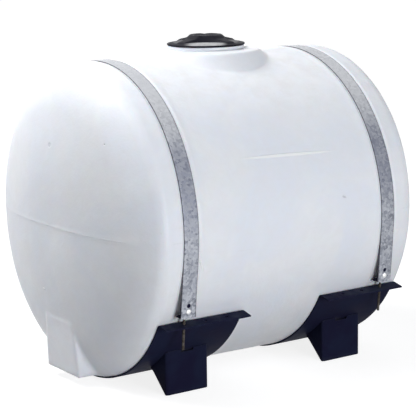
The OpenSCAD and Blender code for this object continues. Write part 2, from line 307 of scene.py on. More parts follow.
turret_turn, turret_reach, sump_turn, sump_depth, head_columns = 30, 0.275, 25, 0.295, 30
turret_rows = [int(round(rings / 2 + k * rings * turret_turn / 360)) for k in (-1, 1)]
turret_cols = [int(np.abs(line_x - (neck_x + k * turret_reach)).argmin()) for k in (-1, 1)]
sump_rows = [int(round(k * rings * sump_turn / 360)) for k in (-1, 1)]
sump_cols = [int(np.abs(line_depth[:head_columns] - sump_depth).argmin()),
             int(np.abs(line_x + head_x - 0.002).argmin())]
print("turret window x", line_x[turret_cols], "sump window x", line_x[sump_cols])

# %% Faces outside the windows
all_faces = grid_faces(rings, columns, wrap_rows=True)
face_row, face_col = all_faces[:, 0] // columns, all_faces[:, 0] % columns
centred_row = (face_row + rings // 2) % rings - rings // 2


def inside(row, rows, cols):
    """Which faces lie in a window."""
    return (row >= rows[0]) & (row < rows[1]) & (face_col >= cols[0]) & (face_col < cols[1])


skin_faces = all_faces[~(inside(face_row, turret_rows, turret_cols) | inside(centred_row, sump_rows, sump_cols))]
print("faces left out for the windows", len(all_faces) - len(skin_faces))

# %% [markdown]
# ### The turret
# The turret is a low round table that the filling neck stands on. Its patch is a polar grid: each spoke
# starts at a point of the window's rim and runs in to the neck hole. The height eases from the barrel to the
# flat top with a tight shoulder and a wide cove at the foot, which is how a moulding leaves its tool.

# %% Turret patch
turret_rim = window(*turret_rows, *turret_cols)
rim_points = skin[turret_rim[:, 0], turret_rim[:, 1]]
spoke = rim_points[:, :2] - [neck_x, 0]
spoke_r, spoke_a = np.hypot(*spoke.T), np.arctan2(spoke[:, 1], spoke[:, 0])
outer_steps = np.linspace(0, 1, 6)[:-1]
round_from = 0.250
inner_radii = np.concatenate([np.arange(round_from, 0.214, -0.004), np.arange(0.2135, 0.196, -0.0018),
                              [0.190, 0.180, 0.168, 0.156, 0.146, neck_r + 0.003, neck_r]])
radii = np.concatenate([spoke_r + (round_from + 0.003 - spoke_r) * outer_steps[:, None],
                        np.broadcast_to(inner_radii[:, None], (len(inner_radii), len(spoke_r)))])


def turret_height(r, y):
    """Height of the skin at distance r from the neck's axis: the barrel's height outside the foot, the flat
    top inside the shoulder, and 1 - (1 - t)^1.8 of the way down between them."""
    barrel = crown_c + np.sqrt(crown_r**2 - y**2)
    past, shoulder = r - turret_r, 0.006
    eased = (past + np.sqrt(past**2 + shoulder**2)) / 2
    t = np.clip(eased / (turret_foot_r - turret_r), 0, 1)
    drop = np.where(past < -0.02, 0, 1 - (1 - t) ** 1.8)
    return axis_z + turret_top + (barrel - turret_top) * drop


patch_x, patch_y = neck_x + radii * np.cos(spoke_a), radii * np.sin(spoke_a)
turret_points = np.stack([patch_x, patch_y, turret_height(radii, patch_y)], -1)
turret_points[0] = rim_points
turret_faces = grid_faces(*radii.shape, wrap_cols=True)
print("turret patch", radii.shape)

# %% [markdown]
# ### The sump
# The sump is a block-shaped pocket at the foot of the left head, where the tank drains. It leans on a curved
# head, so its edges can't be written down directly. Rays are sent out from a point inside it instead, and
# each ray stops where a blended distance to the head and to the block is nought. Bisection finds that place
# for all the rays at once.

# %% Distance to the head
sump_lift, sump_set, sump_height, sump_width, sump_lean = 0.024, 0.026, 0.212, 0.240, 0.014
sump_floor, sump_x = -half_height + sump_lift, half_length - sump_set
sump_eye, sump_pole = np.array([-0.600, 0.0, -0.470]), np.array([-0.664, 0.0, -0.475])


def head_distance(p):
    """Distance outside the left head: to the dome, the dished ring, the knuckle or the straight part, whichever
    the point faces."""
    depth = crown_r - np.hypot(p[..., 1], p[..., 2] + crown_c)
    out = -p[..., 0]
    dome_x = half_length - dome_r
    dome = np.hypot(dome_end - depth, out - dome_x) - dome_r
    dome_angle = np.arctan2(out - dome_x, dome_end - depth)
    dish = np.hypot(dish_end - depth, out - dish_x) - dish_r
    dish_angle = np.arctan2(out - dish_x, dish_end - depth)
    knuckle = np.hypot(knuckle_r - depth, out - head_x) - knuckle_r
    near_edge = np.where(out > head_x, knuckle, -depth)
    return np.where(dome_angle > dish_a, dome, np.where(dish_angle > knuckle_a, dish, near_edge))


print("inner point to the head", round(float(head_distance(sump_eye)) * 1000, 1), "mm")


# %% Distance to the block, and the blend
def block_distance(p):
    """Distance outside the sump's block: a face that leans back towards its foot, two sides that lean in, and
    a level floor, with rounded corners."""
    up, corner = p[..., 2] - sump_floor, 0.009
    face = -p[..., 0] - (sump_x - sump_lean) - sump_lean / sump_height * np.clip(up, 0, sump_height)
    sides = np.abs(p[..., 1]) - sump_width / 2 * (1 - 0.15 * up / sump_height)
    gaps = np.stack([face, sides, -up, up - sump_height], -1) + corner
    return np.linalg.norm(np.maximum(gaps, 0), axis=-1) + np.minimum(gaps.max(-1), 0) - corner


def blended_distance(p):
    """The smaller of the two distances, with the crease between them filled by a fillet that is small where
    the block's face runs out into the head."""
    return soft_min(head_distance(p), block_distance(p), 0.022 - 0.014 * smooth_step(-p[..., 0], 0.632, 0.652))


print("inner point to the blended skin", round(float(blended_distance(sump_eye)) * 1000, 1), "mm")


# %% Sump patch
def cast(directions):
    """Bisects along rays from the sump's inner point to the blended skin."""
    reach, halvings = 0.6, 36
    low, high = np.zeros(directions.shape[:-1]), np.full(directions.shape[:-1], reach)
    for _ in range(halvings):
        middle = (low + high) / 2
        within = blended_distance(sump_eye + directions * middle[..., None]) < 0
        low, high = np.where(within, middle, low), np.where(within, high, middle)
    return sump_eye + directions * low[..., None]


sump_rim = window(*sump_rows, *sump_cols)
rim = skin[sump_rim[:, 0], sump_rim[:, 1]] - [0, 0, axis_z]
inward = np.linspace(0, 1, 60)[:-1] ** 0.85
pole_aim = unit(sump_pole - sump_eye)
rays = unit(unit(rim - sump_eye) * (1 - inward[:, None, None]) + pole_aim * inward[:, None, None])
sump_points = cast(rays)
miss, healed_rows = rim - sump_points[0], 12
sump_points += miss * np.clip(1 - np.arange(len(rays)) / healed_rows, 0, 1)[:, None, None] ** 2
pole_point = cast(pole_aim[None])
sump_points[..., 2] += axis_z
pole_point[..., 2] += axis_z
sump_parts = [(sump_points, grid_faces(*sump_points.shape[:2], wrap_cols=True)),
              (np.concatenate([sump_points[-1], pole_point]), fan_faces(0, 1, len(rim), len(rim)))]
print("sump patch", sump_points.shape[:2], "rim miss", round(float(np.abs(miss).max()) * 1000, 2), "mm")


# %% Close the middles of the heads and build the shell
def head_cap(column):
    """A fan of triangles from the middle of a head to its first ring."""
    ring = skin[:, column]
    return np.concatenate([ring, ring.mean(0, keepdims=True)]), fan_faces(0, 1, rings, rings)


shell = make_object("tank_shell", [(skin, skin_faces), (turret_points, turret_faces), *sump_parts,
                                   head_cap(0), head_cap(columns - 1)])
print("shell", len(shell.data.vertices), "points")

# %% [markdown]
# ### Waves, the parting line and small marks
# A big moulding cools unevenly, so its skin is never quite true: it carries long shallow waves, a faint ridge
# where the two halves of the mould met, and a few small dents. They are real relief here, made by moving each
# point inwards along its normal, so that they show in any light.

# %% Waves, ridge and dents
mean_depth, wave_height, ridge_height, deepest = 0.0020, 0.010, 0.0008, 0.0045
dents = [((-0.672, 0.084, 0.312), 0.014, 0.0022), ((-0.674, 0.028, 0.889), 0.018, 0.0018),
         ((-0.694, 0.052, 0.748), 0.022, 0.0016), ((-0.63, -0.331, 0.997), 0.012, 0.0016),
         ((0.245, -0.559, 0.681), 0.015, 0.0020), ((0.503, -0.559, 0.523), 0.014, 0.0020),
         ((-0.385, -0.560, 0.600), 0.050, 0.0020), ((0.30, 0.54, 0.72), 0.016, 0.0018),
         ((0.655, 0.12, 0.43), 0.020, 0.0018)]


def waves(p, seed, count):
    """The mean of sine waves in fixed random directions, each with its own length from 0.12 to 0.5 m."""
    rng, total = np.random.default_rng(seed), np.zeros(len(p))
    for _ in range(count):
        direction = rng.normal(size=3)
        length, phase = rng.uniform(0.12, 0.5), rng.uniform(0, 2 * math.pi)
        total += length * np.sin(2 * math.pi * (p @ unit(direction)) / length + phase)
    return total / count


def ridge(distance, half_width):
    """A rounded ridge of height 1: (1 - (distance / half width)^2)^2 inside its half width, and 0 outside."""
    return np.clip(1 - (distance / half_width) ** 2, 0, 1) ** 2


def relief(p):
    """How far inwards each point goes, in metres: a mean depth plus the waves, less the parting line's ridge
    at mid height, plus small dents. It fades to nothing under the bands and the cradles, and round the neck,
    where other parts lie on the skin."""
    x, y, z = p.T
    band_still, band_free, neck_still, neck_free = band_w / 2 + 0.017, band_w / 2 + 0.030, 0.155, 0.2
    quiet = smooth_step(np.abs(np.abs(x) - band_x - lean(z - axis_z)), band_still, band_free)
    quiet *= smooth_step(np.hypot(x - neck_x, y) + 10 * (z < axis_z), neck_still, neck_free)
    on_plate = (np.abs(np.abs(x) - cradle_x) < cradle_length / 2 + 0.01) & (z < axis_z - 0.29)
    depth = mean_depth + wave_height * waves(p, 5, 14) - ridge_height * ridge(z - axis_z, 0.010)
    for centre, size, deep in dents:
        depth += deep * np.exp(-(np.linalg.norm(p - centre, axis=-1) / size) ** 2)
    return quiet * ~on_plate * np.clip(depth, 0, deepest)


# %% Move the skin and give it its wall
points, normals = read_points(shell.data), read_points(shell.data, "normal")
inward_by = relief(points)
points -= normals * inward_by[:, None]
shell.data.vertices.foreach_set("co", points.astype(np.float32).ravel())
shell.data.update()
print("relief up to", round(float(inward_by.max()) * 1000, 2), "mm")

thickness = shell.modifiers.new("wall", "SOLIDIFY")
thickness.thickness, thickness.offset, thickness.use_rim = wall, -1, True
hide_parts("barrel", "head_left", "head_right", "turret", "sump")
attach(shell, "tank")
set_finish(shell, "white_poly")

# %% [markdown]
# ## Sheets with round holes
# The bands, flanges, clips and legs are all cut from flat sheet and then bent. So one function makes a flat
# sheet as a row of rectangular cells, with a round hole in some of them, and a second step bends it. Only the
# cell with a hole needs a special grid: it runs from the cell's square rim to the hole's circle.

# %% Flat sheet with holes
def cell_rim(left, right, low, high, per_side):
    """Points round a rectangle, in order, with the same number on each side."""
    t = np.arange(per_side) / per_side
    sides = [np.stack([left + (right - left) * t, np.full(per_side, low)], -1),
             np.stack([np.full(per_side, right), low + (high - low) * t], -1),
             np.stack([right - (right - left) * t, np.full(per_side, high)], -1),
             np.stack([np.full(per_side, left), high - (high - low) * t], -1)]
    return np.concatenate(sides)


def flat_sheet(x_lines, y_lines, holes=(), per_side=8):
    """Cells between the given lines, as (points, faces) parts in the sheet's own (u, v). A hole is (column,
    row, centre u, centre v, radius): its cell becomes rings that run from the rim to the circle."""
    parts, holed = [], {hole[:2]: hole[2:] for hole in holes}
    for c in range(len(x_lines) - 1):
        for r in range(len(y_lines) - 1):
            left, right, low, high = x_lines[c], x_lines[c + 1], y_lines[r], y_lines[r + 1]
            if (c, r) in holed:
                u, v, radius = holed[(c, r)]
                rim = cell_rim(left, right, low, high, per_side)
                circle = [u, v] + unit(rim - [u, v]) * radius
                s = np.array([0, 0.35, 0.6, 0.8, 1.0])[:, None, None]
                cell = rim * (1 - s) + circle * s
                parts.append((cell.reshape(-1, 2), grid_faces(len(s), len(rim), wrap_cols=True)))
            else:
                lines = np.linspace(left, right, per_side + 1), np.linspace(low, high, per_side + 1)
                cell = np.stack(np.meshgrid(*lines, indexing="ij"), -1)
                parts.append((cell.reshape(-1, 2), grid_faces(per_side + 1, per_side + 1)))
    return parts


def bent_sheet(name, parts, bend, gauge, round_by=0.0006):
    """Bends flat (u, v) parts into place, gives the sheet its gauge and eases its edges. bend takes u and v
    to points, on the sheet's middle surface."""
    made = make_object(name, [(bend(p[:, 0], p[:, 1]), f) for p, f in parts], weld=2e-5, smooth_angle=40)
    sheet = made.modifiers.new("gauge", "SOLIDIFY")
    sheet.thickness, sheet.offset, sheet.use_rim = gauge, 0.0, True
    ease = made.modifiers.new("edges", "BEVEL")
    ease.width, ease.segments, ease.limit_method, ease.angle_limit = round_by, 2, "ANGLE", math.radians(55)
    return made


# %% [markdown]
# ## The bands
# Each band is a strip of galvanised flat bar that goes over the tank and ends in a straight tail on both
# sides. Along its length the strip is a path: a tail, the oval's arcs, and the other tail. The path is
# followed by distance, so that the holes keep their true spacing.

# %% Where the tails and the flanges lie
band_tilt, flange_slope, cradle_end, flange_w = math.radians(5.5), math.radians(14), math.radians(29), 0.056


def out_and_up(slope):
    """Two unit vectors (y, z) of a frame that is turned down by this slope."""
    return np.array([math.cos(slope), -math.sin(slope)]), np.array([math.sin(slope), math.cos(slope)])


tail_out, tail_up = out_and_up(band_tilt)
flange_out, flange_up = out_and_up(flange_slope)
tail_origin = (side_r - band_lift) * tail_out - [side_c, 0]
flange_origin = side_r * out_and_up(cradle_end)[0] - [side_c, 0]
rod_hole = flange_origin + flange_w / 2 * flange_out - plate_t / 2 * flange_up
rod_set = float((tail_origin - rod_hole) @ tail_out)
flange_along_rod = float((tail_origin - rod_hole) @ tail_up) - plate_t / 2 / float(tail_up @ flange_up)
clip_gap = 0.028
tail_length = flange_along_rod - clip_gap
print("rod set back", round(rod_set * 1000, 1), "mm, tail", round(tail_length * 1000, 1), "mm")


# %% Places round the tank
ends = (("left", -1), ("right", 1))
corners = [(f"{end}_{front}", side, face) for end, side in ends for front, face in (("front", -1), ("rear", 1))]
sheet_play = 0.0002


def running_length(path):
    """Distance along a polyline at each of its points."""
    return np.concatenate([[0], np.cumsum(np.hypot(*np.diff(path, axis=0).T))])


def follow(path, distance):
    """The point at this distance along a polyline, by linear interpolation of its running length."""
    return np.stack([np.interp(distance, running_length(path), values) for values in path.T], -1)


def strip_lines(length, end_lines, inner, count):
    """Lines across a strip: the same ones near both ends, and even ones from this far inside each end."""
    end_lines = np.array(end_lines)
    return np.concatenate([end_lines, np.linspace(inner, length - inner, count), length - end_lines[::-1]])


def along_section(path, splay=0):
    """A bend for a sheet: u is the place along the tank, and v the distance along a path (y, z) round it.
    With a splay of -1 or 1 the sheet leans to that side."""
    def bend(u, v):
        y, z = follow(path, v).T
        return np.stack([u + splay * lean(z), y, axis_z + z], -1)
    return bend


def at_tail(side, face, points):
    """Points given in a tail's own frame (x along the tank, y away from it, z up the tail), put in place."""
    x, y, z = np.asarray(points, float).reshape(-1, 3).T
    out = tail_origin[:, None] + np.outer(tail_out, y) + np.outer(tail_up, z)
    return np.stack([side * (band_x + lean(lean_to)) + x, face * out[0], axis_z + out[1]], -1)


def dress(made, material_slot, *nodes, body="tank"):
    """The piece rides on its body, stands for its CAD nodes and takes its finish from a material slot."""
    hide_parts(*nodes)
    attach(made, body)
    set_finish(made, material_slot)


print("corners", [name for name, side, face in corners])

# %% Bands
arc = np.stack(oval(np.linspace(-band_tilt, math.pi + band_tilt, 241), band_lift - band_t / 2), -1)
rear_tail = arc[0] - np.linspace(1, 0, 12)[:-1, None] * tail_length * tail_up
band_path = np.concatenate([rear_tail, arc, (rear_tail * [-1, 1])[::-1]])
band_length = float(running_length(band_path)[-1])
strip_w, bolt_rise, spare_rise, bolt_hole_r, spare_hole_r = 0.063, 0.024, 0.046, 0.0055, 0.008
v_lines = strip_lines(band_length, [0, 0.012, 0.035, 0.060], 0.12, 23)
last = len(v_lines) - 2
for name, side in ends:
    x = side * band_x
    holes = [(0, row, x, v, radius)
             for rise, radius, row_in in ((bolt_rise, bolt_hole_r, 1), (spare_rise, spare_hole_r, 2))
             for row, v in ((row_in, rise), (last - row_in, band_length - rise))]
    parts = flat_sheet(x + np.array([-strip_w / 2, strip_w / 2]), v_lines, holes)
    band = bent_sheet(f"band_{name}_strip", parts, along_section(band_path, side), band_t - sheet_play)
    dress(band, "galvanised_band", f"band_{name}")
print("band", round(band_length, 3), "m long")

# %% [markdown]
# ## The cradles
# A cradle and its two flanges are one plate: it is rolled to the tank's underside, and its edges are folded
# outwards with a small inside radius. The path runs from one flange's edge to the other's, and the folds are
# short curves between the straight flange and the rolled part.

# %% Path of a cradle
def curve(t, start, corner, end):
    """Quadratic curve from start to end, drawn towards a corner: the three weighted by (1 - t)^2, 2t(1 - t)
    and t^2."""
    return (1 - t) ** 2 * start + 2 * t * (1 - t) * corner + t**2 * end


under = np.stack(oval(np.linspace(1.5 * math.pi, 2 * math.pi - cradle_end + 0.1, 400), -plate_t / 2), -1)
flange_start = flange_origin - plate_t / 2 * flange_up
corner_at = int(np.abs((under - flange_start) @ flange_up).argmin())
corner, fold = under[corner_at], 0.011
rolled = under[: corner_at + 1]
rolled = rolled[np.linalg.norm(rolled - corner, axis=1) > fold]
folded = curve(np.linspace(0, 1, 12)[:, None], rolled[-1], corner, corner + flange_out * fold)
rear_half = np.concatenate([rolled, folded[1:], [flange_start + flange_w * flange_out]])
cradle_path = np.concatenate([rear_half[::-1], (rear_half * [-1, 1])[1:]])
cradle_run = float(running_length(cradle_path)[-1])
print("cradle", round(cradle_run, 3), "m of plate")

# %% Cradles
hole_pitch, hole_r, hole_cell = 0.092, 0.007, 0.021
pitch = hole_pitch * np.array([-1, 0, 1])
x_lines = np.sort(np.concatenate([[-cradle_length / 2, cradle_length / 2], pitch - hole_cell, pitch + hole_cell]))
v_lines = strip_lines(cradle_run, [0, 0.042, 0.050, 0.062], 0.11, 16)
last = len(v_lines) - 2
for name, side in ends:
    x = side * cradle_x
    holes = [(1 + 2 * k, row, x + pitch[k], v, hole_r) for k in range(3)
             for row, v in ((0, flange_w / 2), (last, cradle_run - flange_w / 2))]
    parts = flat_sheet(x + x_lines, v_lines, holes, 6)
    cradle = bent_sheet(f"cradle_{name}_plate", parts, along_section(cradle_path), plate_t - sheet_play, 0.001)
    dress(cradle, "navy_paint", f"cradle_{name}", f"flange_{name}_front", f"flange_{name}_rear")
print("cradles with", len(holes), "holes each")

# %% [markdown]
# ## The legs
# A leg is a sheet folded into a U. Its face stands upright, and its two wings taper from the cradle down to
# the floor. In the flat, u runs across the wings and the face, and v is the share of the height, so that the
# upper edge can follow the cradle and the lower edge the taper.

# %% Plan of a leg
leg_y, leg_w, leg_t, wing_depth, fold_r = 0.393, 0.184, 0.005, 0.103, 0.0075
middle_y, middle_x = leg_y - leg_t / 2, leg_w / 2 - leg_t / 2
turn = np.linspace(0, math.pi / 2, 9)
fold_points = np.stack([middle_x - fold_r + fold_r * np.sin(turn), middle_y - fold_r + fold_r * np.cos(turn)], -1)
half_plan = np.concatenate([fold_points, [[middle_x, leg_y - wing_depth]]])
plan = np.concatenate([(half_plan * [-1, 1])[::-1], half_plan])
plan_run = float(running_length(plan)[-1])
print("leg", round(plan_run, 3), "m of sheet")

# %% Legs
foot_depth, notch_deep, notch_half, fit_gap = 0.010, 0.010, 0.028, 0.0005


def under_cradle(y):
    """Height of the cradle's underside at this distance from the middle."""
    return axis_z - crown_c - np.sqrt((crown_r + plate_t) ** 2 - y**2)


def standing(side, face):
    """A bend for the leg at one corner: u is the distance along the plan, and v the share of the height."""
    def bend(u, v):
        x, y = follow(plan, u).T
        taper = np.clip((leg_y - foot_depth - y) / (wing_depth - foot_depth), 0, 1)
        notch = notch_deep * (np.abs(u - plan_run / 2) < notch_half)
        high = under_cradle(y) - fit_gap - notch
        low = np.minimum(under_cradle(leg_y - wing_depth) * taper, high - 0.004)
        return np.stack([side * cradle_x + x, face * y, low * (1 - v) + high * v], -1)
    return bend


beside = np.array([notch_half - 0.0004, notch_half + 0.0004, 0.05, middle_x, 0.1, plan_run / 2])
u_lines = plan_run / 2 + np.concatenate([-beside[::-1], beside])
for name, side, face in corners:
    parts = flat_sheet(u_lines, np.linspace(0, 1, 4), per_side=5)
    leg = bent_sheet(f"leg_{name}_sheet", parts, standing(side, face), leg_t, 0.001)
    dress(leg, "navy_paint", f"leg_{name}")
print("legs", round(float(under_cradle(leg_y)), 3), "m high at the face")

# %% [markdown]
# ## Clips, bolts, rods and nuts
# Round parts are turned on a lathe, so they are an outline carried round an axis. A hexagon nut is the same
# with a radius that depends on the angle, and a thread is the same with a radius that depends on the angle
# and the height together.

# %% Lathe
def rounded(outline, radius):
    """A closed outline with each corner replaced by a quadratic curve that starts this far from it."""
    pts = np.asarray(outline, float)
    before, after = np.roll(pts, 1, 0) - pts, np.roll(pts, -1, 0) - pts
    before_size, after_size = (np.linalg.norm(v, axis=1, keepdims=True) for v in (before, after))
    cut = np.minimum(radius, 0.45 * np.minimum(before_size, after_size))
    cut = np.where(pts[:, :1] < 1e-6, 0, cut)
    start, end = pts + before / before_size * cut, pts + after / after_size * cut
    t = np.linspace(0, 1, 5)[None, :, None]
    return curve(t, start[:, None], pts[:, None], end[:, None]).reshape(-1, 2)


def angles(around):
    """A column of this many even angles round a circle."""
    return 2 * math.pi * np.arange(around)[:, None] / around


def lathe(outline, around, radius=None):
    """Points (radius, height) of a closed outline carried round the Z axis. radius(r, h, angle) may change
    the distance from the axis."""
    angle = angles(around)
    r, h = np.asarray(outline, float).T[:, None, :]
    far = r * np.ones_like(angle) if radius is None else radius(r, h, angle)
    points = np.stack([far * np.cos(angle), far * np.sin(angle), np.broadcast_to(h, far.shape)], -1)
    return points, grid_faces(around, len(outline), wrap_rows=True, wrap_cols=True)


# %% Nut
nut_h, nut_w, rod_d, rod_length = 0.008, 0.017, 0.010, 0.144


def hexagon(r, h, angle):
    """Radius of a nut: the hexagon's, cut back near its end faces by a 30 degree chamfer cone."""
    flat = nut_w / 2 / np.cos((angle + math.pi / 6) % (math.pi / 3) - math.pi / 6)
    cone = nut_w / 2 * 1.02 + np.minimum(h, nut_h - h) * math.tan(math.radians(60))
    return np.where(r > 0.45 * nut_w, np.minimum(flat, cone), r)


nut_bore, nut_face = rod_d / 2 + 0.0001, nut_w * 0.4
nut_side = [(nut_w / 2, nut_h * share) for share in (0, 0.12, 0.3, 0.7, 0.88, 1)]
nut_outline = [(nut_bore, 0), (nut_face, 0), *nut_side, (nut_face, nut_h), (nut_bore, nut_h)]
nut_points, nut_faces = lathe(nut_outline, 72, hexagon)
print("nut", nut_points.shape[:2])


# %% Threaded rod
def threaded_rod(pitch, around, per_turn):
    """A rod whose radius follows a rounded saw-tooth of the height minus the angle's share of a pitch, so
    that the crest climbs one pitch in each turn. Both ends are chamfered and closed."""
    heights = np.linspace(0, rod_length, int(rod_length / pitch * per_turn) + 1)[:, None]
    angle = angles(around).T
    crest = 0.5 + 0.5 * np.cos(2 * math.pi * (heights / pitch - angle / (2 * math.pi)))
    from_end = np.minimum(heights, rod_length - heights)
    r = np.minimum(rod_d / 2 - 0.0008 * (1 - crest), rod_d / 2 - 0.0012 + from_end)
    ring = np.stack([r * np.cos(angle), r * np.sin(angle), np.broadcast_to(heights, r.shape)], -1)
    points = np.concatenate([ring.reshape(-1, 3), [[0, 0, 0], [0, 0, rod_length]]])
    count = len(heights) * around
    return points, [grid_faces(len(heights), around, wrap_cols=True), fan_faces(0, 1, around, count),
                    fan_faces(count - around, 1, around, count + 1)]


rod_points, rod_faces = threaded_rod(0.0015, 24, 7)
print("rod", len(rod_points), "points")

# %% Bolt and clip
clip_t, clip_rise, clip_w, clip_hole_set, hole_half = 0.005, 0.062, 0.060, 0.012, 0.0115
head_curve = [(0.0100 * math.cos(a), 0.005 * math.sin(a)) for a in np.linspace(0, math.pi / 2, 9)]
bolt_outline = [(0.0, -0.0105), (0.0046, -0.0105), (0.005, -0.0101), (0.005, 0), (0.0100, 0), *head_curve[1:]]
bolt_points, bolt_faces = lathe(bolt_outline, 40)
half_t = clip_t / 2
clip_path = np.array([[-half_t, clip_rise], [-half_t, half_t + 0.006], [-half_t - 0.0018, half_t + 0.0018],
                      [-half_t - 0.006, half_t], [-(rod_set + clip_hole_set), half_t]])
clip_run = float(running_length(clip_path)[-1])
rod_v = clip_run - clip_hole_set
slant = float(tail_up @ flange_up)
under_flange = flange_along_rod + (plate_t + nut_w / 2 * math.tan(flange_slope - band_tilt)) / slant
rod_shift = cradle_x + hole_pitch - band_x - float(lean(lean_to))
print("clip", round(clip_run, 3), "m of sheet, rod shifted by", round(rod_shift * 1000, 1), "mm")


# %% Put the hold-down hardware in place
def behind_tail(side, face):
    """A bend for a clip: u runs across it, and v from its top edge down and along its level leg."""
    def bend(u, v):
        y, z = follow(clip_path, v).T
        return at_tail(side, face, np.stack([u, y, z - tail_length], -1))
    return bend


def across_tail(points, start, way=1):
    """Lathe points in a tail's frame, with their axis through the bolt's hole: from this far out, and outwards
    (way 1) or inwards (way -1)."""
    return np.stack([points[..., 0], start + way * points[..., 2], points[..., 1] + bolt_rise - tail_length], -1)


nut_heights = [clip_t - tail_length, -tail_length - nut_h, -under_flange - nut_h]
rod_low = clip_t + nut_h + 0.006 - tail_length - rod_length
for name, side, face in corners:
    shift = side * rod_shift
    u_lines = [-clip_w / 2, shift - 0.012, shift + 0.012, clip_w / 2]
    parts = flat_sheet(u_lines, [0, 0.026, 0.050, rod_v - hole_half, rod_v + hole_half, clip_run],
                       [(1, 3, shift, rod_v, bolt_hole_r)], per_side=5)
    # The clip takes the dark navy finish, and its upright rises behind the band's spare hole, so the hole shows dark:
    # partly a dark sheet standing for the shade behind the hole.
    clip = bent_sheet(f"clip_{name}_angle", parts, behind_tail(side, face), clip_t - sheet_play, 0.0008)
    dress(clip, "navy_paint", f"clip_{name}")

    bolt_set = [(at_tail(side, face, across_tail(bolt_points, band_t - 0.0003)), bolt_faces),
                (at_tail(side, face, across_tail(nut_points, -clip_t, -1)), nut_faces)]
    dress(make_object(f"clip_bolt_{name}_set", bolt_set, 2e-6, 35), "zinc_hardware", f"clip_bolt_{name}")

    rod = [(at_tail(side, face, rod_points + [shift, -rod_set, rod_low]), rod_faces)]
    dress(make_object(f"rod_{name}_threaded", rod, 2e-6), "threaded_steel", f"rod_{name}")

    nuts = [(at_tail(side, face, nut_points + [shift, -rod_set, z]), nut_faces) for z in nut_heights]
    dress(make_object(f"nuts_{name}_hex", nuts, 2e-6, 35), "zinc_hardware", f"nuts_{name}")
print("hardware at", len(corners), "corners")

# %% [markdown]
# ## The filling neck and its lid
# The lid is one black moulding: a flat rim, and a crown that four wide hand hollows turn into four lobes. Its
# top is a height over a polar grid. Each hollow is a cone standing beside the crown, so the height left at a
# point depends only on its distance from the nearest hollow's centre.

# %% Neck ring and gasket
neck_d, neck_wall, neck_depth, neck_flange, gasket_t, lid_d = 0.254, 0.010, 0.040, 0.013, 0.002, 0.300
neck_top = axis_z + turret_top
bore, flange_r, seal_r, seal_t = neck_d / 2, lid_d / 2 - 0.003, lid_d / 2 - 0.004, gasket_t - 0.0003
ring_outline = rounded([(bore, -neck_depth), (bore + neck_wall, -neck_depth), (bore + neck_wall, 0), (flange_r, 0),
                        (flange_r, neck_flange), (bore, neck_flange)], 0.0015)
seal_outline = rounded([(bore, 0), (seal_r, 0), (seal_r, seal_t), (bore, seal_t)], 0.0006)
for name, outline, height, finish, node in (("neck_ring_moulding", ring_outline, 0, "white_poly", "neck_ring"),
                                            ("neck_gasket_ring", seal_outline, neck_flange, "gasket", "neck_gasket")):
    points, faces = lathe(outline, 128)
    dress(make_object(name, [(points + [neck_x, 0, neck_top + height], faces)], 1e-6, 40), finish, node)
print("neck's top at", round(neck_top, 4), "m")

# %% Outlines of the lid's crown and brim
rim_t, crown_h, lid_blend = 0.006, 0.032, 0.005
hollow_turn, hollow_r, hollow_set, hollow_slope = math.radians(55), 0.114, 0.199, crown_h / 0.025
crown_outline = np.array([
    [0, crown_h - 0.0045], [0.036, crown_h - 0.0040], [0.050, crown_h - 0.0004], [0.054, crown_h],
    [0.062, crown_h - 0.0002], [0.0685, crown_h * 0.92], [0.082, crown_h * 0.61], [0.100, crown_h * 0.48],
    [0.120, crown_h * 0.36], [0.131, crown_h * 0.27], [0.138, 0.002], [0.142, -0.004], [0.2, -0.02]])
brim_outline = np.array([[0, 0.006], [0.086, 0.006], [0.110, 0.0041], [0.130, 0.0023], [0.141, 0.0012],
                         [0.1445, 0.0006], [0.148, -0.001]])


def crown_height(r, angle):
    """Height of the crown above the rim: the outline's height, or the hollow's wall where that is lower, but
    never below the brim, and a shallow valley across the flat top."""
    quarter = (angle - hollow_turn + math.pi / 4) % (math.pi / 2) - math.pi / 4
    away = np.hypot(r * np.cos(quarter) - hollow_set, r * np.sin(quarter))
    height = soft_min(np.interp(r, *crown_outline.T), (away - hollow_r) * hollow_slope, lid_blend)
    from_valley = r * np.sin(angle - hollow_turn - math.pi) + 0.006
    valley = 0.0018 * np.exp(-((from_valley / 0.010) ** 2)) * smooth_step(height, 0.024, 0.030)
    return np.maximum(-soft_min(valley - height, -np.interp(r, *brim_outline.T), lid_blend), 0)


print("crown between the hollows", round(float(crown_height(0.06, hollow_turn + math.pi / 4)) * 1000, 1), "mm high")

# %% Lid
lid_around, skirt, lid_r, under_r = 240, bore - 0.006, lid_d / 2, 0.105
angle = angles(lid_around)
edge_r, edge_z = np.array([
    (lid_r - 0.0030, rim_t), (lid_r - 0.0012, rim_t - 0.0006), (lid_r - 0.0004, rim_t - 0.0016), (lid_r, rim_t - 0.003),
    (lid_r, 0.0008), (lid_r - 0.0008, 0), (skirt + 0.001, 0), (skirt, -0.001), (skirt, -0.033), (skirt - 0.001, -0.034),
    (skirt - 0.005, -0.034), (skirt - 0.006, -0.033), (skirt - 0.006, -0.001), (skirt - 0.007, 0)]).T
top_r = np.concatenate([[0.0005], np.linspace(0.004, 0.144, 64)])
under = np.linspace(under_r, 0.0005, 36)
under_z = np.maximum(0, crown_height(under + 0.004 * (under > 0.01), angle) + rim_t - 0.007)
under_z *= smooth_step(under, under_r, under_r - 0.005)


def at_every_angle(*values):
    """Values along the outline, joined in one row and repeated at every angle."""
    return np.concatenate([np.broadcast_to(v, (lid_around, v.shape[-1])) for v in values], 1)


